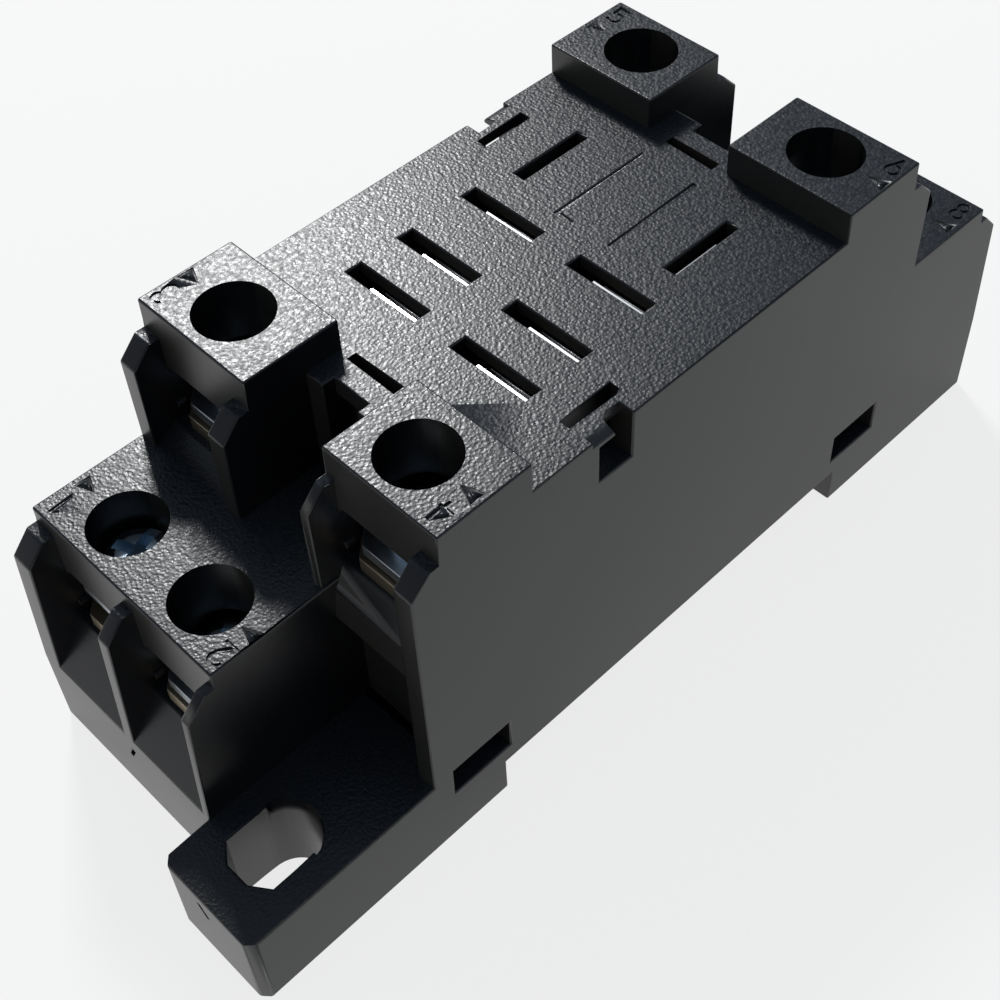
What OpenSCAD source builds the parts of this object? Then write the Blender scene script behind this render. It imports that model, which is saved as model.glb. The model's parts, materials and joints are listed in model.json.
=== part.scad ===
// Front-connecting relay socket for a 35 mm rail, two poles, eight screw terminals.
// X runs along the socket, Y across it and Z up from its base.
// The two ends are the same shape, turned half a turn about the Z axis.

/* [Overall] */
// length over the two mounting ears
body_l = 78.6; // [66:0.2:94]
// width of the socket
body_w = 27; // [24:0.2:33]
// height of the deck that the relay stands on
deck_h = 29.1; // [25:0.1:35]
// how far the four corner blocks stand above the deck
block_rise = 2.4; // [1.5:0.1:4]
// height of the lower terminals' top
tier_h = 20.8; // [19:0.1:23]
// height of the mounting ears
ear_h = 7.5; // [6:0.1:9.5]

/* [Relay space] */
// length of the relay case between the blocks
relay_l = 28; // [24:0.5:28.5]
// end clearance of the relay case
relay_gap = 0.5; // [0.3:0.1:1]

/* [Upper terminals] */
// half length over the upper terminals' side walls
upper_half = 24.1; // [23.6:0.1:25]
// screw axis from the middle, along the socket
up_x = 18.4; // [18:0.1:19]
// screw axis from the middle, across the socket
up_y = 8.3; // [8:0.1:8.6]
// inner side of the blocks beside the wide wall
block_in_a = 3.1; // [2.6:0.1:3.4]
// inner side of the blocks beside the thin wall
block_in_b = 3.9; // [3.6:0.1:4.1]

/* [Lower terminals] */
// half length of the base under the lower terminals
tier_half = 35.5; // [35:0.1:37]
// screw axis from the middle, along the socket
low_x = 29.2; // [29:0.1:30]
// screw axis of the outer lower terminal, across the socket
low_y = 8.0; // [7.8:0.1:8.2]
// distance between the two lower terminals
low_pitch = 8.4; // [8.2:0.1:8.6]
// side of the lower tier next to the ear
tier_side = 4.8; // [4.6:0.1:5.2]
// how far the lower side walls start under the tier's top
low_band = 1.4; // [1:0.1:2]

/* [Terminal bay] */
// clear width of a bay
bay_w = 7.3; // [6.8:0.1:7.5]
// screw axis to the front band's face
bay_front = 3.45; // [3.3:0.05:3.6]
// screw axis to the back of the bay
bay_back = 3.7; // [3.5:0.1:3.9]
// screwdriver hole
hole_d = 5.34; // [5:0.02:5.6]
// depth of the front wall over the wire entry
skirt = 4.75; // [4.4:0.05:4.9]
// depth of the terminal plate's top face
plate_depth = 8.5; // [8.3:0.05:8.8]

/* [Screws and clamps] */
// screw thread diameter
screw_d = 3.5; // [3:0.1:4]
// thread pitch
screw_pitch = 0.6; // [0.5:0.05:0.7]
// length under the head
screw_l = 7.8; // [7:0.1:8]
// head diameter
head_d = 5.0; // [4.6:0.05:5.1]
// head height
head_h = 2.2; // [1.8:0.1:2.5]
// radial clearance of the screw in the plate
thread_gap = 0.05; // [0.02:0.01:0.1]
// gap between the square clamp plate and the bay's walls
clamp_gap = 0.35; // [0.3:0.01:0.5]
// thickness of the clamp plate
clamp_t = 0.9; // [0.8:0.05:1]
// clipped corners of the clamp plate and the terminal plate
clip_c = 1.2; // [0.6:0.1:1.4]
// gap between a tightened clamp plate and the terminal plate
clamp_open = 0.35; // [0.3:0.05:0.5]
// gap between a raised clamp plate and the front wall
clamp_top = 0.3; // [0.3:0.05:0.4]
// terminal plate thickness
plate_t = 1.2; // [1:0.1:1.4]
// width of the conductor strips
strip_w = 2.2; // [1.8:0.1:2.4]

/* [Contacts] */
// distance between the two columns of contact slots
slot_pitch = 9.8; // [9.4:0.1:10]
// first row, along the socket
row_1 = -9.2; // [-9.4:0.1:-9]
// second row
row_2 = -4.7; // [-4.8:0.1:-4.5]
// third row
row_3 = 1.1; // [0.8:0.1:1.4]
// coil slots, along the socket
coil_x = 7.7; // [7.5:0.1:7.9]
// coil slots, across the socket
coil_y = 6.85; // [6.7:0.05:6.9]
// contact slot length
slot_l = 6.5; // [6:0.1:6.6]
// contact slot width
slot_w = 1.25; // [1.1:0.05:1.4]
// coil slot width
coil_w = 0.95; // [0.9:0.05:1.1]
// thickness of the deck over the contact pockets
deck_t = 1.0; // [0.8:0.1:1.4]
// contact spring strip
clip_t = 0.45; // [0.35:0.05:0.5]
// width of a contact spring
clip_w = 4.4; // [3.8:0.1:4.6]

/* [Base] */
// width of the rail channel
rail_w = 35.6; // [35.3:0.1:36]
// depth of the rail channel
rail_h = 3.25; // [3:0.05:3.5]
// reach of the hooks under the rail
hook_reach = 1.4; // [1:0.1:1.6]
// thickness of the hooks
hook_t = 1.3; // [1.1:0.1:1.4]
// width of the sliding rail lock
lock_w = 8.4; // [7:0.2:9]
// travel of the rail lock
lock_travel = 2; // [1.6:0.1:2.2]
// running clearance of the rail lock
lock_gap = 0.25; // [0.15:0.05:0.3]
// leg windows: length along the socket
window_l = 5.1; // [4.9:0.1:5.4]
// leg windows: lower edge
window_z = 4.9; // [4.8:0.1:5.1]
// leg windows: height
window_h = 2.75; // [2.5:0.05:2.8]
// thickness of the base cover
cover_t = 1.2; // [1:0.1:1.4]
// clearance round the base cover
cover_gap = 0.15; // [0.1:0.05:0.3]
// mounting hole width
ear_hole_w = 4.65; // [4.3:0.05:4.8]
// mounting hole length
ear_hole_l = 6; // [5.4:0.1:6.4]
// mounting hole from the ear's end
ear_hole_in = 5.7; // [5.2:0.1:6.2]

/* [Hidden] */
$fn = 48;
hw = body_w / 2;
hl = body_l / 2;
block_h = deck_h + block_rise;
block_x = relay_l / 2 + relay_gap;
low_y2 = low_y - low_pitch;
up_face = up_x + bay_front;
low_face = low_x + bay_front;
rail_x = rail_w / 2;
hook_top = rail_h - 1.15;
hook_bot = hook_top - hook_t;
lock_bot = hook_bot;
lock_back = low_x + 0.8;
win_in = rail_x - 0.5;
win_out = win_in + window_l;
win_top = window_z + window_h;
// depth of a tightened clamp plate's top face, and how far terminal 1 is backed out
clamp_z = plate_depth - clamp_open - clamp_t;
backed_out = clamp_z - skirt - clamp_top;
seat = plate_depth + plate_t;
clamp_w = bay_w - 2 * clamp_gap;
strip_top = tier_h - plate_depth;
strip_z = strip_top - plate_t;
// inside of the base, closed by the cover
hollow_x = 15.4;
hollow_y = hw - 1.5;
hollow_top = strip_top + 1.4;
cover_x = hollow_x + 1.2;
cover_y = hollow_y - 0.1;
clip_top = deck_h - 0.45;
contact_y = slot_pitch / 2;
plate_y = bay_w / 2 - 0.1;
shank_r = screw_d / 2 - thread_gap;
bore_r = screw_d / 2;
leg_x = up_x - bay_back - 1.3;
foot_y = 9.7;
spring_sag = window_l - 3.5;
spring_r = (pow(hw - 1.6, 2) + pow(spring_sag, 2)) / (2 * spring_sag);
strip_y = low_y - bay_w / 2 + 0.15;
// inner and outer side of an upper terminal's leg, clear of the strip below it
leg_in = strip_y + strip_w + 0.5;
leg_out = leg_in + 3;
ear_y = -hw + (hw - tier_side) / 2 + 0.15;
ear_x = -hl + ear_hole_in;
arm_x = 7.5;
arm_w = 3;

// a box between two corners
module box(a, b) {
  translate(a)
    cube([b[0] - a[0], b[1] - a[1], b[2] - a[2]]);
}

// a flat XZ outline drawn out along Y
module slab(pts, y0, y1) {
  translate([0, y1, 0])
    rotate([90, 0, 0])
      linear_extrude(y1 - y0)
        polygon(pts);
}

// the same shape at both ends, half a turn apart
module both_ends() {
  children();
  rotate([0, 0, 180])
    children();
}

// put a terminal's own frame in place: origin on the screw axis at the top face,
// with the wire entry towards -X
module at_terminal(n) {
  if (n == 1)
    translate([-low_x, low_y, tier_h]) children();
  if (n == 2)
    translate([-low_x, low_y2, tier_h]) children();
  if (n == 3)
    translate([-up_x, up_y, block_h]) children();
  if (n == 4)
    translate([-up_x, -up_y, block_h]) children();
  if (n == 5)
    rotate([0, 0, 180]) translate([-up_x, -up_y, block_h]) children();
  if (n == 6)
    rotate([0, 0, 180]) translate([-up_x, up_y, block_h]) children();
  if (n == 7)
    rotate([0, 0, 180]) translate([-low_x, low_y2, tier_h]) children();
  if (n == 8)
    rotate([0, 0, 180]) translate([-low_x, low_y, tier_h]) children();
}

// ---------- housing ----------

// side wall of an upper terminal, seen from the side
module upper_wall(y0, y1, foot) {
  slab([[-up_face + 1, foot],
        [-upper_half, foot],
        [-upper_half, deck_h - 1.4],
        [-up_face - 0.85, deck_h],
        [-up_face + 1, deck_h]], y0, y1);
}

// side wall of a lower terminal
module lower_wall(y0, y1) {
  slab([[-low_face + 1, ear_h - 1],
        [-tier_half, ear_h - 1],
        [-tier_half, ear_h],
        [-tier_half + 0.6, tier_h - low_band - 1.5],
        [-low_face - 0.85, tier_h - low_band],
        [-low_face + 1, tier_h - low_band]], y0, y1);
}

// sloping wire guides in front of the terminal plates
module low_guide(y) {
  slab([[-low_face + 0.2, ear_h - 0.5],
        [-tier_half, ear_h - 0.5],
        [-tier_half, ear_h],
        [-low_face - 0.3, tier_h - seat],
        [-low_face + 0.2, tier_h - seat]],
       y - bay_w / 2 - 0.3, y + bay_w / 2 + 0.3);
}

module up_guide_a() {
  slab([[-up_face + 0.2, tier_h - 0.5],
        [-upper_half, tier_h - 0.5],
        [-upper_half, tier_h - 0.2],
        [-up_face - 0.3, block_h - seat + 0.1],
        [-up_face + 0.2, block_h - seat + 0.1]],
       up_y - bay_w / 2 - 0.3, up_y + bay_w / 2 + 0.3);
}

module up_guide_b() {
  slab([[-up_face + 0.2, block_h - seat - 5.2],
        [-up_face - 0.3, block_h - seat - 5.0],
        [-up_face - 1.65, block_h - seat - 4.4],
        [-up_face - 1.35, block_h - seat - 1.9],
        [-up_face - 0.25, block_h - seat],
        [-up_face + 0.2, block_h - seat]],
       -up_y - bay_w / 2 - 0.3, -up_y + bay_w / 2 + 0.3);
}

// everything solid at the -X end
module end_solid() {
  // raised blocks
  box([-up_face, block_in_a, deck_h - 1], [-block_x, hw, block_h]);
  box([-up_face, -hw, deck_h - 1], [-block_x, -block_in_b, block_h]);
  // upper side walls
  upper_wall(block_in_a, up_y - bay_w / 2, tier_h - 1);
  upper_wall(up_y + bay_w / 2, hw, tier_h - 1);
  upper_wall(-up_y + bay_w / 2, -block_in_b, ear_h - 1);
  upper_wall(-hw, -up_y - bay_w / 2, ear_h - 1);
  up_guide_a();
  up_guide_b();
  // lower tier and its base strip
  box([-low_face, -tier_side, 0], [-up_face + 1, hw, tier_h]);
  box([-tier_half, -tier_side, 0], [-up_face + 1, hw, ear_h]);
  lower_wall(low_y + bay_w / 2, hw);
  lower_wall(low_y2 + bay_w / 2, low_y - bay_w / 2);
  lower_wall(-tier_side, low_y2 - bay_w / 2);
  low_guide(low_y);
  low_guide(low_y2);
  // mounting ear with clipped corners
  linear_extrude(ear_h)
    polygon([[-hl + 0.6, -hw],
             [-up_face + 1, -hw],
             [-up_face + 1, -tier_side],
             [-hl + 0.6, -tier_side],
             [-hl, -tier_side - 0.6],
             [-hl, -hw + 0.6]]);
}

// screwdriver hole, bay and screw tip pocket of one terminal
module bay_cut() {
  difference() {
    box([-bay_front - 0.5, -bay_w / 2, -seat], [bay_back, bay_w / 2, -skirt]);
    // rounded lower corners of the front wall
    for (m = [0, 1])
      mirror([0, m, 0])
        translate([-bay_front - 1, bay_w / 2 - 0.7, -skirt - 0.7])
          difference() {
            box([0, 0, 0], [1.8, 1, 1]);
            translate([-1, 0, 0])
              rotate([0, 90, 0])
                cylinder(r = 0.7, h = 4, $fn = 32);
          }
    // small rib beside the terminal plate
    translate([-bay_front - 0.75, bay_w / 2, -plate_depth + 0.1])
      rotate([0, 90, 0])
        cylinder(r = 0.3, h = 1.4, $fn = 24);
  }
  translate([0, 0, -skirt - 1])
    cylinder(d = hole_d, h = skirt + 2);
  translate([0, 0, -seat - 6.6])
    cylinder(d = screw_d + 0.8, h = 7);
}

// cuts at the -X end
module end_cut() {
  // the gap between the two upper terminals
  box([-up_face - 1, -block_in_b, tier_h], [-up_x + 0.95, block_in_a, block_h + 1]);
  // notch and pocket behind the clip tab
  box([-up_x, -1.55, tier_h], [-block_x - 2, 1.55, block_h + 1]);
  box([-up_x, -1.55, tier_h + 1.4], [-block_x - 0.9, 1.55, deck_h - 1.5]);
  // mounting hole: round at the inner end, clipped at the outer end
  translate([ear_x, ear_y, -1])
    linear_extrude(ear_h + 2)
      polygon([[ear_hole_l / 2 - ear_hole_w / 2, -ear_hole_w / 2],
               [ear_hole_l / 2 - ear_hole_w / 2, ear_hole_w / 2],
               [-ear_hole_l / 2 + 0.95, ear_hole_w / 2],
               [-ear_hole_l / 2, ear_hole_w / 2 - 1.35],
               [-ear_hole_l / 2, -ear_hole_w / 2 + 1.35],
               [-ear_hole_l / 2 + 0.95, -ear_hole_w / 2]]);
  translate([ear_x + ear_hole_l / 2 - ear_hole_w / 2, ear_y, -1])
    cylinder(d = ear_hole_w, h = ear_h + 2);
  intersection() {
    translate([ear_x + ear_hole_l / 2 - ear_hole_w / 2, ear_y, ear_h - 1.2])
      cylinder(d1 = ear_hole_w - 0.1, d2 = ear_hole_w + 0.6, h = 1.25);
    box([ear_x + ear_hole_l / 2 - ear_hole_w / 2 + 0.6, -hw, 0], [0, 0, ear_h + 1]);
  }
  // ejector marks
  translate([-tier_half, 4.0, 5.4])
    rotate([28, 0, 0])
      box([-1, -0.16, -0.75], [0.35, 0.16, 0.7]);
  translate([-hl, -8.6, 6.0])
    rotate([-35, 0, 0])
      box([-1, -0.22, -0.8], [0.35, 0.22, 0.6]);
  // window through the leg
  box([-win_out, -hw - 1, window_z], [-win_in, hw + 1, win_top]);
  // relay clip slots
  box([-block_x - 0.45, -2.1, deck_h - 9], [-block_x + 0.3, 2.2, deck_h + 1]);
  box([-9.65, -hw + 1.85, deck_h - 9], [-5.2, -hw + 2.7, deck_h + 1]);
  // clip notch in the side
  box([-7.7, -hw - 1, deck_h - 4], [-6.05, -hw + 1.2, deck_h + 1]);
  box([-8.95, -hw - 1, deck_h - 4], [-6.05, -hw + 2.0, deck_h - 0.85]);
  translate([-9.6, -hw, deck_h])
    rotate([90, 0, 90])
      linear_extrude(1.95)
        polygon([[-1, -0.95], [0.95, 0.05], [-1, 1]]);
}

// conductor channel from a lower bay to the hollow base
module strip_cut(y0, y1) {
  box([-low_x, y0 - 0.15, strip_z], [-hollow_x + 1, y1 + 0.2, strip_top + 0.2]);
}

// pocket and mouth of a contact spring, slot along Y
module contact_cut() {
  translate([0, 0, deck_h])
    box([-slot_w / 2, -slot_l / 2, -deck_t - 1], [slot_w / 2, slot_l / 2, 1]);
  box([-slot_w / 2 - 0.25, -slot_l / 2 - 0.05, strip_z],
      [slot_w / 2 + 1.0, slot_l / 2 + 0.05, deck_h - deck_t]);
}

// pocket and mouth of a coil contact spring, slot along X
module coil_cut() {
  box([-slot_l / 2 + 0.15, -coil_w / 2, deck_h - deck_t - 1],
      [slot_l / 2 - 0.15, coil_w / 2, deck_h + 1]);
  box([-slot_l / 2 + 0.1, -coil_w / 2 - 0.25, strip_z],
      [slot_l / 2 - 0.1, coil_w / 2 + 1.0, deck_h - deck_t]);
}

module numeral(n) {
  // strokes of a plain figure, 1.5 high
  if (n == 1) {
    square([0.2, 1.5], center = true);
    translate([-0.2, 0.55]) rotate(-40) square([0.2, 0.5], center = true);
  }
  if (n == 2) {
    translate([0, 0.33]) arc(0.4, -30, 180);
    translate([0.02, -0.3]) rotate(-40) square([0.2, 1.15], center = true);
    translate([0.03, -0.67]) square([0.95, 0.18], center = true);
  }
  if (n == 3) {
    translate([0, 0.37]) arc(0.37, -90, 160);
    translate([0, -0.37]) arc(0.39, -160, 90);
  }
  if (n == 4) {
    translate([0.22, 0]) square([0.2, 1.5], center = true);
    translate([0.02, -0.28]) square([0.95, 0.2], center = true);
    translate([-0.12, 0.22]) rotate(-32) square([0.2, 1.2], center = true);
  }
  if (n == 5) {
    translate([0, -0.3]) arc(0.43, -150, 110);
    translate([-0.33, 0.35]) square([0.2, 0.8], center = true);
    translate([0.04, 0.65]) square([0.8, 0.2], center = true);
  }
  if (n == 6 || n == 8)
    translate([0, -0.34]) arc(0.4, 0, 360);
  if (n == 6)
    translate([-0.17, 0.25]) rotate(-22) square([0.2, 1.05], center = true);
  if (n == 7) {
    translate([0, 0.65]) square([0.95, 0.2], center = true);
    translate([0.1, -0.05]) rotate(-25) square([0.2, 1.5], center = true);
  }
  if (n == 8)
    translate([0, 0.4]) arc(0.34, 0, 360);
}

// a ring stroke from one angle to another
module arc(r, a0, a1) {
  difference() {
    circle(r = r + 0.1, $fn = 20);
    circle(r = r - 0.1, $fn = 20);
    if (a1 - a0 < 360)
      for (k = [0 : 5])
        rotate(a1 + (360 - a1 + a0) * k / 6)
          polygon([[0, 0],
                   [3, 0],
                   [3 * cos((360 - a1 + a0) / 6), 3 * sin((360 - a1 + a0) / 6)]]);
  }
}

// small open triangle that points at the hole
module pointer() {
  difference() {
    polygon([[-0.5, 0.6], [0.5, 0.6], [0, -0.55]]);
    polygon([[-0.2, 0.44], [0.2, 0.44], [0, -0.05]]);
  }
}

// figure and triangle sunk in the top face beside the hole
module marking(n, y) {
  translate([-2, y, -0.12])
    linear_extrude(1)
      rotate(90)
        scale([1.2, 1.2])
          numeral(n);
  translate([0.05, y, -0.12])
    linear_extrude(1)
      mirror([0, y < 0 ? 1 : 0, 0])
        pointer();
}

module housing() {
  color("#24272c")
  difference() {
    union() {
      box([-up_face, -hw, 0], [up_face, hw, deck_h]);
      both_ends()
        end_solid();
    }
    both_ends()
      end_cut();
    for (n = [1, 2, 7, 8])
      at_terminal(n)
        bay_cut();
    for (n = [3 : 6])
      at_terminal(n)
        bay_cut();
    // rail channel, leaving the fixed hook on the far leg
    difference() {
      box([-rail_x, -hw - 1, -1], [rail_x, hw + 1, rail_h]);
      slab([[rail_x + 1, hook_bot],
            [rail_x - hook_reach + 0.9, hook_bot],
            [rail_x - hook_reach, hook_bot + 0.9],
            [rail_x - hook_reach, hook_top],
            [rail_x + 1, hook_top]], -8, 8);
    }
    // hollow base and the seat of its cover
    box([-hollow_x, -hollow_y, rail_h - 1], [hollow_x, hollow_y, hollow_top]);
    box([-cover_x - cover_gap, -hollow_y, rail_h - 1],
        [cover_x + cover_gap, hollow_y, rail_h + cover_t]);
    for (s = [-1, 1])
      box([s * arm_x - arm_w / 2 - 0.2, -hollow_y - 0.6, rail_h + 4.2],
          [s * arm_x + arm_w / 2 + 0.2, hollow_y + 0.6, rail_h + 6.2]);
    // sliding rail lock, its post and the hole for a screwdriver
    box([-lock_back - lock_travel - 0.4, -lock_w / 2 - lock_gap, lock_bot - lock_gap],
        [-rail_x + 1, lock_w / 2 + lock_gap, hook_top + lock_gap]);
    box([-win_out, -3 - lock_gap, lock_bot], [-win_in, 3 + lock_gap, window_z + 1]);
    box([-lock_back + 0.6 - lock_travel, -2.2, -1], [-lock_back + 4, 2.2, lock_bot]);
    // contacts
    for (r = [row_1, row_2, row_3])
      for (s = [-1, 1])
        translate([r, s * contact_y, 0])
          contact_cut();
    for (s = [-1, 1])
      translate([coil_x, s * coil_y, 0])
        coil_cut();
    // conductor channels
    both_ends() {
      strip_cut(strip_y, strip_y + strip_w);
      strip_cut(low_y2 - strip_w / 2, low_y2 + strip_w / 2);
      for (m = [0, 1])
        mirror([0, m, 0])
          box([-up_x + bay_back - 0.5, leg_in - 0.2, strip_z],
              [-leg_x + 0.3, leg_out + 0.2, block_h - plate_depth + 0.2]);
    }
    // label frame on the deck
    for (y = [-2.35, 2.35])
      box([3.6, y - 0.1, deck_h - 0.12], [12.2, y + 0.1, deck_h + 1]);
    box([3.6, 0.9, deck_h - 0.12], [3.8, 2.4, deck_h + 1]);
    // figures
    at_terminal(1) marking(1, 4.35);
    at_terminal(2) marking(2, -3.65);
    at_terminal(3) marking(3, 4.3);
    at_terminal(4) marking(4, -4.1);
    at_terminal(5) marking(5, -4.1);
    at_terminal(6) marking(6, 4.3);
    at_terminal(7) marking(7, -3.65);
    at_terminal(8) marking(8, 4.35);
  }
}

// ---------- base parts ----------

module base_cover() {
  color("#1c1e21") {
    difference() {
      box([-cover_x, -cover_y, rail_h], [cover_x, cover_y, rail_h + cover_t]);
      for (s = [-1, 1])
        box([s * 12 - 1, -5, rail_h - 1], [s * 12 + 1, 5, rail_h + 0.4]);
    }
    for (s = [-1, 1])
      for (t = [-1, 1])
        mirror([0, t < 0 ? 1 : 0, 0])
          translate([s * arm_x, 0, 0])
            rotate([90, 0, 90])
              translate([0, 0, -arm_w / 2])
                linear_extrude(arm_w)
                  polygon([[hollow_y - 1.1, rail_h + cover_t - 0.2],
                           [hollow_y - 0.3, rail_h + cover_t - 0.2],
                           [hollow_y - 0.3, rail_h + 4.4],
                           [hollow_y + 0.35, rail_h + 4.4],
                           [hollow_y - 0.3, rail_h + 6.0],
                           [hollow_y - 1.1, rail_h + 6.0]]);
  }
}

module rail_lock() {
  color("#2b2e33")
  difference() {
    union() {
      slab([[-lock_back, lock_bot],
            [-rail_x + hook_reach - 0.9, lock_bot],
            [-rail_x + hook_reach, lock_bot + 0.9],
            [-rail_x + hook_reach, hook_top],
            [-lock_back, hook_top]], -lock_w / 2, lock_w / 2);
      box([-win_in - 2.9, -3, hook_top - 0.5], [-win_in - 0.5, 3, win_top - 0.3]);
    }
    // screwdriver slot in the tail
    box([-lock_back + 0.9, -1.6, lock_bot - 1], [-lock_back + 2.1, 1.6, hook_top + 1]);
  }
}

// bowed leaf spring behind the lock's post, its ends against the tunnel's outer wall
module lock_spring() {
  color("#b9bcc0")
  translate([0, 0, window_z + 0.3])
    linear_extrude(window_h - 0.7)
      intersection() {
        translate([-win_in - 3.7 - spring_r, 0])
          difference() {
            circle(r = spring_r + 0.5, $fn = 360);
            circle(r = spring_r, $fn = 360);
          }
        translate([-win_out, -hw + 1.6])
          square([window_l, body_w - 3.2]);
      }
}

// ---------- terminals ----------

// threaded plate of a terminal, in the terminal's own frame
module plate() {
  translate([0, 0, -seat])
    difference() {
      linear_extrude(plate_t)
        polygon([[-bay_front - 0.05, -plate_y + clip_c],
                 [-bay_front - 0.05 + clip_c, -plate_y],
                 [bay_back, -plate_y],
                 [bay_back, plate_y],
                 [-bay_front - 0.05 + clip_c, plate_y],
                 [-bay_front - 0.05, plate_y - clip_c]]);
      translate([0, 0, -1])
        cylinder(r = bore_r, h = plate_t + 2);
    }
}

// conductor strip between two corners in plan
module strip(a, b) {
  box([a[0], a[1], strip_z], [b[0], b[1], strip_top]);
}

// upper terminal: plate, leg and foot that ends under a contact
// at row x and column y, both counted in the terminal's own end
module upper_terminal(x) {
  translate([-up_x, up_y, block_h])
    plate();
  box([-up_x + bay_back - 0.6, leg_in, block_h - seat],
      [-leg_x, leg_out, block_h - plate_depth]);
  box([-leg_x - 1, leg_in, strip_z], [-leg_x, leg_out, block_h - plate_depth]);
  strip([-leg_x - 1, foot_y - strip_w / 2], [x + 0.9, foot_y + strip_w / 2]);
  strip([x - 0.9, contact_y - 1.1], [x + 0.9, foot_y]);
}

// outer lower terminal: runs to the first row
module terminal_outer(x) {
  translate([-low_x, low_y, tier_h])
    plate();
  strip([-low_x + bay_back - 1, strip_y], [x + 0.9, strip_y + strip_w]);
}

// inner lower terminal, crossing to the other column
module terminal_inner(x, y) {
  translate([-low_x, low_y2, tier_h])
    plate();
  strip([-low_x + bay_back - 1, low_y2 - strip_w / 2], [x - 1.7, low_y2 + strip_w / 2]);
  strip([x - 3.7, -y - 1.1], [x - 1.7, low_y2 + strip_w / 2]);
  strip([x - 3.7, -y - 1.1], [x + 0.9, -y + 1.1]);
}

module terminal_1() { color("#b8963f") terminal_outer(row_1); }

module terminal_2() { color("#b8963f") terminal_inner(row_1, contact_y); }

module terminal_3() { color("#b8963f") upper_terminal(row_2); }

module terminal_4() { color("#b8963f") mirror([0, 1, 0]) upper_terminal(row_2); }

module terminal_5() { color("#b8963f") mirror([1, 0, 0]) upper_terminal(-row_3); }

module terminal_6() { color("#b8963f") rotate([0, 0, 180]) upper_terminal(-row_3); }

module terminal_7() {
  color("#b8963f")
    rotate([0, 0, 180])
      terminal_inner(-coil_x + 1.2, coil_y);
}

module terminal_8() {
  color("#b8963f")
    rotate([0, 0, 180]) {
      terminal_outer(-coil_x + 0.9);
      strip([-coil_x - 1.8, strip_y], [-coil_x + 1.8, coil_y + 0.6]);
    }
}

// ---------- contact springs ----------

// folded spring: straight leaf at the slot's near side, sprung leaf opposite
module spring_leaf(w, lo, hi) {
  n = -slot_w / 2 + 0.03;
  f = slot_w / 2 + 0.75;
  slab([[n, lo],
        [f, lo],
        [f, hi - 4.2],
        [slot_w / 2, hi - 2.6],
        [f - 0.2, hi - 1.1],
        [f - 0.2 - clip_t, hi - 1.1],
        [slot_w / 2 - clip_t, hi - 2.6],
        [f - clip_t, hi - 4.3],
        [f - clip_t, lo + clip_t],
        [n + clip_t, lo + clip_t],
        [n + clip_t, hi],
        [n, hi]], -w / 2, w / 2);
}

module contact_spring(x, y) {
  color("#c9ccd0")
  translate([x, y - (slot_l - clip_w) / 2 + 0.1, 0])
    spring_leaf(clip_w, strip_top, clip_top);
}

// coil contact, turned so that its slot runs along X
module coil_spring(s) {
  n = -coil_w / 2 + 0.03;
  f = coil_w / 2 + 0.75;
  color("#c9ccd0")
  translate([coil_x - 0.75, s * coil_y, 0])
    rotate([0, 0, 90])
      slab([[n, strip_top],
            [f, strip_top],
            [f, clip_top - 1.2],
            [f - clip_t, clip_top - 1.2],
            [f - clip_t, strip_top + clip_t],
            [n + clip_t * 0.7, strip_top + clip_t],
            [n + clip_t * 0.7, clip_top],
            [n, clip_top]], -2, 2);
}

module contact_clip_1() { contact_spring(row_1, contact_y); }

module contact_clip_2() { contact_spring(row_1, -contact_y); }

module contact_clip_3() { contact_spring(row_2, contact_y); }

module contact_clip_4() { contact_spring(row_2, -contact_y); }

module contact_clip_5() { contact_spring(row_3, contact_y); }

module contact_clip_6() { contact_spring(row_3, -contact_y); }

module contact_clip_7() { coil_spring(1); }

module contact_clip_8() { coil_spring(-1); }

// ---------- screws and clamp plates ----------

// how far a terminal's screw and clamp plate stand above the tightened place
function lift(n) = n == 1 ? backed_out : 0;

module clamp_plate(n) {
  h = clamp_w / 2;
  color("#aab4bd")
  at_terminal(n)
    translate([0, 0, lift(n) - clamp_z])
      difference() {
        translate([0, 0, -clamp_t])
          linear_extrude(clamp_t)
            polygon([[-h, -h + clip_c], [-h + clip_c, -h],
                     [h - clip_c, -h], [h, -h + clip_c],
                     [h, h - clip_c], [h - clip_c, h],
                     [-h + clip_c, h], [-h, h - clip_c]]);
        translate([0, 0, -clamp_t - 1])
          cylinder(r = shank_r + 0.08, h = clamp_t + 2);
        // gripping grooves in the underside
        for (y = [-2.9, -2.4, 2.4, 2.9])
          box([-clamp_w, y - 0.12, -clamp_t - 1],
              [clamp_w, y + 0.12, -clamp_t + 0.15]);
      }
}

module screw(n) {
  tip = -screw_l;
  color("#9fb0bd")
  at_terminal(n)
    translate([0, 0, lift(n) - clamp_z])
      difference() {
        rotate_extrude($fn = 48)
          polygon(concat(
            [[0, head_h],
             [head_d / 2 - 1.1, head_h],
             [head_d / 2 - 0.4, head_h - 0.25],
             [head_d / 2, head_h - 0.8],
             [head_d / 2, 0.02],
             [shank_r, 0.02],
             [shank_r, -clamp_t - 0.3]],
            [for (k = [0 : 9])
              for (q = [0, 1])
                [shank_r - 0.28 * (1 - q), -clamp_t - 0.6 - screw_pitch * (k + q / 2)]],
            [[shank_r - 0.28, tip + 0.3],
             [shank_r - 0.6, tip],
             [0, tip]]));
        // cross and slot in the head
        for (a = [0, 90])
          rotate([0, 0, a + 20 * n])
            box([-head_d / 2 + 0.75, -0.4, head_h - 1.3],
                [head_d / 2 - 0.75, 0.4, head_h + 1]);
        rotate([0, 0, 20 * n])
          box([-head_d, -0.4, head_h - 0.6], [head_d, 0.4, head_h + 1]);
      }
}

module clamp_plate_1() { clamp_plate(1); }

module clamp_plate_2() { clamp_plate(2); }

module clamp_plate_3() { clamp_plate(3); }

module clamp_plate_4() { clamp_plate(4); }

module clamp_plate_5() { clamp_plate(5); }

module clamp_plate_6() { clamp_plate(6); }

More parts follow.
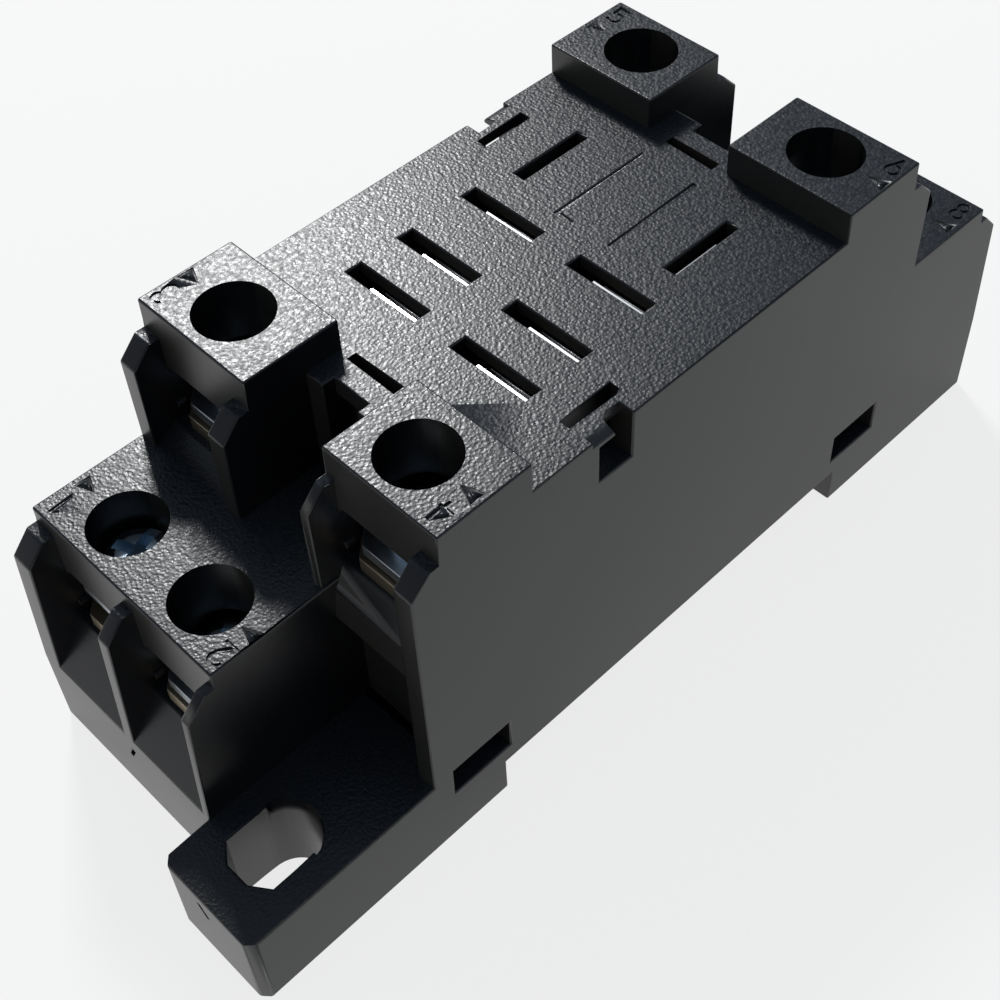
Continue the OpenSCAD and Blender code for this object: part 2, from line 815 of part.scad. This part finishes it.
module clamp_plate_7() { clamp_plate(7); }

module clamp_plate_8() { clamp_plate(8); }

module terminal_screw_1() { screw(1); }

module terminal_screw_2() { screw(2); }

module terminal_screw_3() { screw(3); }

module terminal_screw_4() { screw(4); }

module terminal_screw_5() { screw(5); }

module terminal_screw_6() { screw(6); }

module terminal_screw_7() { screw(7); }

module terminal_screw_8() { screw(8); }

housing();
base_cover();
rail_lock();
lock_spring();
terminal_1();
terminal_2();
terminal_3();
terminal_4();
terminal_5();
terminal_6();
terminal_7();
terminal_8();
contact_clip_1();
contact_clip_2();
contact_clip_3();
contact_clip_4();
contact_clip_5();
contact_clip_6();
contact_clip_7();
contact_clip_8();
clamp_plate_1();
clamp_plate_2();
clamp_plate_3();
clamp_plate_4();
clamp_plate_5();
clamp_plate_6();
clamp_plate_7();
clamp_plate_8();
terminal_screw_1();
terminal_screw_2();
terminal_screw_3();
terminal_screw_4();
terminal_screw_5();
terminal_screw_6();
terminal_screw_7();
terminal_screw_8();
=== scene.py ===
"""Looks of a front-connecting relay socket: materials, studio and camera."""

import json
import math

import bmesh
import bpy
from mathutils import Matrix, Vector

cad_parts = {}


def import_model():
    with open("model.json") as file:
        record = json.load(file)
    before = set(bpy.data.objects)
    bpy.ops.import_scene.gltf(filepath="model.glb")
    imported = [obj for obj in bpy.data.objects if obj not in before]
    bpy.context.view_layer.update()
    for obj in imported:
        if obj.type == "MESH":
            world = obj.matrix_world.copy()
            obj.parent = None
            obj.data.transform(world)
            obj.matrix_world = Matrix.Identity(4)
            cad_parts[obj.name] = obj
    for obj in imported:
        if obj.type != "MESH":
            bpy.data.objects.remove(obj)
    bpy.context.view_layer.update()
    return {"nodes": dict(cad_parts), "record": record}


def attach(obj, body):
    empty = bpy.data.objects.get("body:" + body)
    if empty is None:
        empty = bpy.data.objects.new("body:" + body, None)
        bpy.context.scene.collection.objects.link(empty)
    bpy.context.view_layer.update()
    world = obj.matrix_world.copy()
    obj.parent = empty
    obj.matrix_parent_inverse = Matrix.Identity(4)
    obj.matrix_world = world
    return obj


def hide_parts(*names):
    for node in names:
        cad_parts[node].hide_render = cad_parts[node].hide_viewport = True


MM = 0.001

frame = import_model()
nodes = frame["nodes"]
record = frame["record"]

# ---------- named values: millimetres on the object, metres in the studio ----------

# how far a face normal's part has to go before the face counts as a top or as upright
TOP_FACES = (0.7, 0.95)
UPRIGHT_FACES = (0.9, 0.95)
# the outer side faces lie beyond this distance from the middle plane
OUTER_SIDE = (13.3, 13.4)

# moulding: darkest and lightest patch of each kind of face; the navy of the tops, the grey of
# the outer sides and the warm grey of the ends are painted reflections picked by the way a
# face points, and BLACK is the plastic's own colour, which the other faces keep
NAVY_TOP_PAINTED_REFLECTION = ((0.008, 0.011, 0.015, 1), (0.014, 0.019, 0.026, 1))
GREY_SIDE_PAINTED_REFLECTION = ((0.024, 0.025, 0.023, 1), (0.030, 0.031, 0.028, 1))
WARM_END_PAINTED_REFLECTION = ((0.028, 0.026, 0.022, 1), (0.040, 0.037, 0.031, 1))
BLACK = (0.006, 0.0065, 0.008, 1)
# roughness of the inner faces, of the side faces, and of the grain on the tops
INNER_ROUGHNESS = 0.34
SIDE_ROUGHNESS = 0.46
GRAIN_ROUGHNESS = (0.24, 0.42)
# depth of the grain, and its strength off and on the top faces
GRAIN_DEPTH = 0.05
GRAIN_STRENGTH = (0.06, 0.35)

# metals
STEEL = (0.5, 0.5, 0.5, 1)
BRASS = (0.45, 0.38, 0.27, 1)
SILVER = (0.8, 0.8, 0.8, 1)
ZINC = (0.6, 0.64, 0.68, 1)
BLUE_ZINC = (0.5, 0.62, 0.72, 1)

# rounding of the edges: width, and the shortest edge that is rounded
HOUSING_ROUNDING = (0.14, 0.9)
COVER_ROUNDING = (0.1, 0.8)
CLAMP_ROUNDING = (0.07, 1.0)
TERMINAL_ROUNDING = (0.07, 0.8)
CONTACT_ROUNDING = (0.06, 1.0)
# degrees: faces this flat are joined, edges sharper than the next are rounded,
# and edges sharper than the last are shaded sharp
FLAT_ANGLE = 0.3
ROUNDED_ANGLE = 30
SHARP_ANGLE = 35
# the contact pockets inside the housing stay sharp: half length, half width and top
POCKETS = (14, 12.5, 28.5)

# studio, in metres: floor, key light and even light
FLOOR_HALF = 2.0
FLOOR_COLOUR = (0.85, 0.85, 0.85, 1)
FLOOR_GLOW = 0.8
KEY_DIRECTION = (0.33, 0.63, 0.70)
KEY_DISTANCE = 0.6
KEY_SIZE = 0.1
KEY_POWER = 2.2
EVEN_LIGHT = 0.25
EVEN_TINT = (0.85, 0.95, 1.1)
WHITE = (1, 1, 1, 1)

# camera: place in millimetres, turn in degrees, lens and shift
EYE = (-55.73, -56.34, 100.92)
EYE_TURN = (41.057, 0.671, -45.6)
LENS = 59.0
SHIFT = (-0.05, -0.05)


# ---------- material graphs ----------


class Graph:
    """A material's node tree, with a short method for each kind of node."""

    def __init__(self, name):
        self.material = bpy.data.materials.new(name)
        self.material.use_nodes = True
        self.tree = self.material.node_tree
        self.tree.nodes.clear()
        self.output = self.add("ShaderNodeOutputMaterial")
        self.shader = self.add("ShaderNodeBsdfPrincipled")
        self.tree.links.new(self.shader.outputs[0], self.output.inputs[0])

    def add(self, kind, **settings):
        node = self.tree.nodes.new(kind)
        for key, value in settings.items():
            setattr(node, key, value)
        return node

    def feed(self, socket, value):
        """Links an output to the socket, or sets a plain value on it."""
        if isinstance(value, bpy.types.NodeSocket):
            self.tree.links.new(value, socket)
        else:
            socket.default_value = value

    def set(self, **values):
        """Sets the shader's own sockets, by name with _ for a space."""
        for key, value in values.items():
            self.feed(self.shader.inputs[key.replace("_", " ")], value)

    def math(self, operation, a, b=0.0):
        node = self.add("ShaderNodeMath", operation=operation)
        self.feed(node.inputs[0], a)
        self.feed(node.inputs[1], b)
        return node.outputs[0]

    def ramp(self, value, low, high, out_low=0.0, out_high=1.0):
        """Smooth step of value from low to high."""
        node = self.add("ShaderNodeMapRange", interpolation_type="SMOOTHSTEP")
        for socket, number in zip(node.inputs, (value, low, high, out_low, out_high)):
            self.feed(socket, number)
        return node.outputs[0]

    def mix(self, factor, a, b):
        """Mix of two colours."""
        node = self.add("ShaderNodeMix", data_type="RGBA")
        self.feed(node.inputs[0], factor)
        self.feed(node.inputs[6], a)
        self.feed(node.inputs[7], b)
        return node.outputs[2]

    def blend(self, factor, a, b):
        """Mix of two numbers."""
        node = self.add("ShaderNodeMix", data_type="FLOAT")
        self.feed(node.inputs[0], factor)
        self.feed(node.inputs[2], a)
        self.feed(node.inputs[3], b)
        return node.outputs[0]

    def place(self):
        """Object coordinates in millimetres."""
        node = self.add("ShaderNodeMapping", vector_type="POINT")
        self.feed(node.inputs[0], self.add("ShaderNodeTexCoord").outputs["Object"])
        node.inputs["Scale"].default_value = (1 / MM,) * 3
        return node.outputs[0]

    def noise(self, vector, scale, detail, rough):
        node = self.add("ShaderNodeTexNoise")
        self.feed(node.inputs["Vector"], vector)
        self.feed(node.inputs["Scale"], scale)
        self.feed(node.inputs["Detail"], detail)
        self.feed(node.inputs["Roughness"], rough)
        return node.outputs[0]

    def cells(self, vector, scale):
        """Distance to the nearest of scattered points."""
        node = self.add("ShaderNodeTexVoronoi")
        self.feed(node.inputs["Vector"], vector)
        self.feed(node.inputs["Scale"], scale)
        return node.outputs["Distance"]

    def bump(self, height, strength, depth):
        """Bump of height, depth in millimetres."""
        node = self.add("ShaderNodeBump")
        self.feed(node.inputs["Height"], height)
        self.feed(node.inputs["Strength"], strength)
        self.feed(node.inputs["Distance"], depth * MM)
        return node.outputs[0]

    def split(self, vector):
        """A vector's X, Y and Z."""
        node = self.add("ShaderNodeSeparateXYZ")
        self.feed(node.inputs[0], vector)
        return node.outputs

    def facing(self):
        """The face normal's X, Y and Z."""
        return self.split(self.add("ShaderNodeNewGeometry").outputs["True Normal"])

    def size_of(self, value):
        """A number without its sign."""
        return self.math("ABSOLUTE", value)


def black_moulding():
    """Black moulded plastic with grained tops and matte sides, and painted reflections: navy
    on the tops, grey on the outer sides, warm grey on the ends.
    """
    g = Graph("black_moulding")
    x, y, z = g.facing()
    place = g.place()
    top = g.ramp(z, *TOP_FACES)
    outside = g.ramp(g.size_of(g.split(place)[1]), *OUTER_SIDE)
    side = g.math("MULTIPLY", outside, g.ramp(g.size_of(y), *UPRIGHT_FACES))
    end = g.ramp(g.size_of(x), *UPRIGHT_FACES)

    grain = g.noise(place, scale=3.2, detail=3.0, rough=0.6)
    patches = g.noise(place, scale=0.35, detail=3.0, rough=0.6)
    # painted reflection: tops, outer sides and ends get lighter copies of the black, picked
    # by the way each face points
    colour = g.mix(top, BLACK, g.mix(patches, *NAVY_TOP_PAINTED_REFLECTION))
    colour = g.mix(side, colour, g.mix(patches, *GREY_SIDE_PAINTED_REFLECTION))
    colour = g.mix(end, colour, g.mix(patches, *WARM_END_PAINTED_REFLECTION))
    rough = g.blend(top, INNER_ROUGHNESS, g.ramp(grain, 0.3, 0.7, *GRAIN_ROUGHNESS))
    rough = g.blend(side, rough, SIDE_ROUGHNESS)
    height = g.math("ADD", grain, g.cells(place, scale=4.2))
    bump = g.bump(height, g.blend(top, *GRAIN_STRENGTH), GRAIN_DEPTH)
    g.set(Base_Color=colour, Roughness=rough, Normal=bump)
    return g.material


def metal(name, colour, roughness):
    """Plain metal."""
    g = Graph(name)
    g.set(Base_Color=colour, Metallic=1.0, Roughness=roughness)
    return g.material


# ---------- rounded copies of the rigid pieces ----------

BODY_OF = {
    node: body for body, members in record["behaviour"]["bodies"].items() for node in members
}


def in_pocket(edge):
    """Whether the edge lies in the housing's contact pockets."""
    half_length, half_width, top = POCKETS
    middle = (edge.verts[0].co + edge.verts[1].co) / 2 / MM
    return abs(middle.x) < half_length and abs(middle.y) < half_width and middle.z < top


def edges_to_round(edit, node, shortest):
    """The node's long outward edges."""
    edges = []
    for edge in edit.edges:
        sharp = edge.calc_face_angle_signed() > math.radians(ROUNDED_ANGLE)
        long = edge.calc_length() > shortest * MM
        if sharp and long and not (node == "housing" and in_pocket(edge)):
            edges.append(edge)
    return edges


def rounded(node, width, shortest):
    """A copy of a CAD node with its long outward edges rounded."""
    mesh = bpy.data.meshes.new(node + "_rounded")
    edit = bmesh.new()
    edit.from_mesh(nodes[node].data)
    bmesh.ops.remove_doubles(edit, verts=edit.verts, dist=1e-7)
    bmesh.ops.dissolve_limit(
        edit, angle_limit=math.radians(FLAT_ANGLE), verts=edit.verts, edges=edit.edges
    )
    bmesh.ops.bevel(
        edit,
        geom=edges_to_round(edit, node, shortest),
        offset=width * MM,
        offset_type="OFFSET",
        segments=2,
        profile=0.5,
        affect="EDGES",
        material=1,
    )
    edit.to_mesh(mesh)
    edit.free()
    mesh.shade_smooth()
    mesh.set_sharp_from_angle(angle=math.radians(SHARP_ANGLE))
    piece = bpy.data.objects.new(node + "_rounded", mesh)
    bpy.context.scene.collection.objects.link(piece)
    weighted = piece.modifiers.new("even_shading", "WEIGHTED_NORMAL")
    weighted.keep_sharp = True
    weighted.weight = 100
    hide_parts(node)
    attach(piece, BODY_OF[node])
    return piece


def is_terminal(node):
    return node.startswith("terminal_") and "screw" not in node


shown = dict(nodes)
shown["housing"] = rounded("housing", *HOUSING_ROUNDING)
shown["base_cover"] = rounded("base_cover", *COVER_ROUNDING)
for node in nodes:
    if node.startswith("clamp_plate"):
        shown[node] = rounded(node, *CLAMP_ROUNDING)
    elif is_terminal(node):
        shown[node] = rounded(node, *TERMINAL_ROUNDING)
    elif node.startswith("contact_clip"):
        shown[node] = rounded(node, *CONTACT_ROUNDING)


def dress(prefixes, *materials):
    """Gives the pieces their materials; on a rounded piece the second is for the edges."""
    for piece in shown.values():
        if piece.name.startswith(prefixes):
            piece.data.materials.clear()
            for material in materials:
                piece.data.materials.append(material)


black = black_moulding()
dress(("housing", "base_cover", "rail_lock"), black, black)
dress(("lock_spring",), metal("spring_steel", STEEL, roughness=0.3))
brass = metal("dull_brass", BRASS, roughness=0.4)
dress(("terminal_",), brass, brass)
silver = metal("silvered", SILVER, roughness=0.25)
dress(("contact_clip",), silver, silver)
zinc = metal("zinc", ZINC, roughness=0.3)
dress(("clamp_plate",), zinc, zinc)
dress(("terminal_screw",), metal("blue_zinc", BLUE_ZINC, roughness=0.25))


# ---------- studio ----------


def white_to_the_eye(graph, surface, share):
    """Camera, glossy and transmitted rays see white mixed into the surface by share."""
    path = graph.add("ShaderNodeLightPath")
    seen = graph.math("MAXIMUM", path.outputs["Is Camera Ray"], path.outputs["Is Glossy Ray"])
    seen = graph.math("MAXIMUM", seen, path.outputs["Is Transmission Ray"])
    glow = graph.add("ShaderNodeEmission")
    mixed = graph.add("ShaderNodeMixShader")
    graph.feed(mixed.inputs[0], graph.math("MULTIPLY", seen, share))
    graph.tree.links.new(surface, mixed.inputs[1])
    graph.tree.links.new(glow.outputs[0], mixed.inputs[2])
    graph.tree.links.new(mixed.outputs[0], graph.output.inputs[0])


def studio_floor(half):
    g = Graph("floor")
    g.set(Base_Color=FLOOR_COLOUR, Roughness=0.9)
    white_to_the_eye(g, g.shader.outputs[0], FLOOR_GLOW)
    corners = [(-half, -half, 0), (half, -half, 0), (half, half, 0), (-half, half, 0)]
    mesh = bpy.data.meshes.new("floor")
    mesh.from_pydata(corners, [], [(0, 1, 2, 3)])
    mesh.materials.append(g.material)
    floor = bpy.data.objects.new("floor", mesh)
    bpy.context.scene.collection.objects.link(floor)


def softbox(name, direction, distance, size, power):
    """An area light that looks at the object from that direction."""
    light = bpy.data.lights.new(name, "AREA")
    light.shape = "SQUARE"
    light.size = size
    light.energy = power
    lamp = bpy.data.objects.new(name, light)
    bpy.context.scene.collection.objects.link(lamp)
    length = math.sqrt(sum(c * c for c in direction))
    lamp.location = [c / length * distance for c in direction]
    lamp.rotation_euler = Vector(direction).to_track_quat("Z", "Y").to_euler()


def world(strength):
    """Dim even light, which the camera sees as white."""
    scene_world = bpy.data.worlds.new("studio")
    bpy.context.scene.world = scene_world
    scene_world.use_nodes = True
    tree = scene_world.node_tree
    path = tree.nodes.new("ShaderNodeLightPath")
    colour = tree.nodes.new("ShaderNodeMix")
    colour.data_type = "RGBA"
    colour.inputs[6].default_value = [tint * strength for tint in EVEN_TINT] + [1]
    colour.inputs[7].default_value = WHITE
    tree.links.new(path.outputs["Is Camera Ray"], colour.inputs[0])
    tree.links.new(colour.outputs[2], tree.nodes["Background"].inputs[0])


def camera():
    data = bpy.data.cameras.new("camera")
    data.sensor_width = 36
    data.lens = LENS
    data.shift_x, data.shift_y = SHIFT
    data.clip_start = 0.005
    eye = bpy.data.objects.new("camera", data)
    bpy.context.scene.collection.objects.link(eye)
    eye.location = [c * MM for c in EYE]
    eye.rotation_euler = [math.radians(a) for a in EYE_TURN]
    bpy.context.scene.camera = eye


studio_floor(FLOOR_HALF)
softbox("key", KEY_DIRECTION, KEY_DISTANCE, KEY_SIZE, KEY_POWER)
world(EVEN_LIGHT)
camera()
bpy.context.scene.view_settings.view_transform = "Standard"
